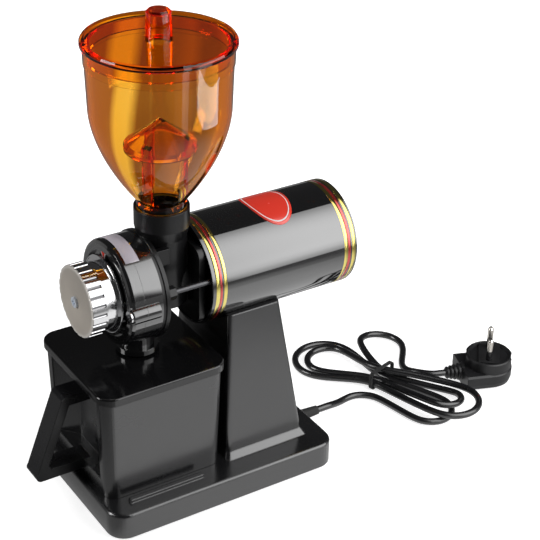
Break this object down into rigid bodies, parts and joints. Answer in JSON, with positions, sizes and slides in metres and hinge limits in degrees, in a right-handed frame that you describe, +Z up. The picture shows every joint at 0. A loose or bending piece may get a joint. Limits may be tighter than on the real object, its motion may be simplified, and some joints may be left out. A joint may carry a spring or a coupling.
{
  "type": "electric coffee grinder",
  "caption": "Burr coffee grinder with an amber bean hopper, grind knob, motor barrel on a column, pull-out grounds box and a plugged mains lead tied in a hank",
  "frame": {"origin": "on the floor under the middle of the grinder's box, taken without the cord, the tie and the plug", "axes": "+Z up, -Y the front with the knob and the box handle, +X the side the picture shows"},
  "size_m": [0.1591, 0.4102, 0.3588],
  "materials": {
    "satin_black": "satin",
    "gloss_black_paint": "gloss",
    "gloss_black": "gloss",
    "satin_box": "satin",
    "dark_plastic": "satin",
    "white_plastic": "satin",
    "plug_plastic": "matte",
    "rubber": "matte",
    "cord": "satin",
    "zinc": "zinc plated",
    "steel": "machined",
    "chrome": "polished",
    "satin_face": "satin",
    "aluminium": "drawn",
    "copper": "enamelled wire",
    "brass_pin": "nickel plated",
    "amber": "clear amber"
  },
  "bodies": {
    "base": {"base_housing": "satin_black", "bottom_cover": "dark_plastic", "bottom_screws": "zinc", "rubber_feet": "rubber", "switch_housing": "dark_plastic", "run_capacitor": "aluminium", "capacitor_clip": "zinc", "terminal_block": "white_plastic", "cord_gland": "rubber", "saddle_screws": "zinc", "motor_shell": "gloss_black_paint", "front_end_bell": "gloss_black_paint", "rear_end_bell": "aluminium", "rear_cap": "gloss_black_paint", "stator_core": "steel", "stator_windings": "copper", "front_bearing_outer": "steel", "front_bearing_balls": "steel", "rear_bearing_outer": "steel", "rear_bearing_balls": "steel", "motor_tie_bolts": "zinc", "grinder_body": "gloss_black_paint", "chute_ring": "gloss_black_paint", "front_cover": "gloss_black_paint", "cover_screws": "chrome", "head_tie_rods": "zinc", "guide_pins": "steel", "cord_lead": "cord", "cord_hank": "cord", "cord_tail": "cord", "cord_tie": "cord", "plug_body": "plug_plastic", "plug_pins": "brass_pin"},
    "rotor": {"rotor_core": "steel", "motor_shaft": "steel", "cooling_fan": "dark_plastic", "front_bearing_inner": "steel", "rear_bearing_inner": "steel", "feed_auger": "steel", "burr_carrier": "steel", "rotating_burr": "steel"},
    "burr_carriage": {"burr_holder": "steel", "fixed_burr": "steel"},
    "adjust_knob": {"knob": "chrome", "knob_face": "satin_face", "knob_screw": "zinc", "adjuster_stem": "steel", "pointer_ring": "chrome"},
    "grounds_drawer": {"grounds_box": "satin_box", "box_lid": "gloss_black", "box_handle": "satin_box"},
    "bean_hopper": {"hopper": "amber", "hopper_guard": "amber"},
    "bean_lid": {"hopper_lid": "amber"},
    "rocker": {"switch_rocker": "dark_plastic"}
  },
  "joints": [
    {"name": "motor_spin", "type": "hinge", "parent": "base", "child": "rotor", "pos_m": [0, 0.06, 0.1605], "axis": [0, -1, 0], "continuous": true},
    {"name": "adjust_slide", "type": "slide", "parent": "base", "child": "burr_carriage", "axis": [0, -1, 0], "range_m": [-0.00063, 0.00063]},
    {"name": "knob_turn", "type": "hinge", "parent": "burr_carriage", "child": "adjust_knob", "pos_m": [0, -0.07, 0.1605], "axis": [0, -1, 0], "range_deg": [-150, 150]},
    {"name": "box_slide", "type": "slide", "parent": "base", "child": "grounds_drawer", "axis": [0, -1, 0], "range_m": [0, 0.11]},
    {"name": "hopper_lift", "type": "slide", "parent": "base", "child": "bean_hopper", "axis": [0, 0, 1], "range_m": [0, 0.06]},
    {"name": "lid_lift", "type": "slide", "parent": "bean_hopper", "child": "bean_lid", "axis": [0, 0, 1], "range_m": [0, 0.05]},
    {"name": "rocker_tilt", "type": "hinge", "parent": "base", "child": "rocker", "pos_m": [-0.03933, 0.04193, 0.0749], "axis": [0, 1, 0], "range_deg": [0, 18]}
  ],
  "couplings": [
    {"joint": "adjust_slide", "follows": "knob_turn", "m_per_rad": 0.00023873}
  ]
}
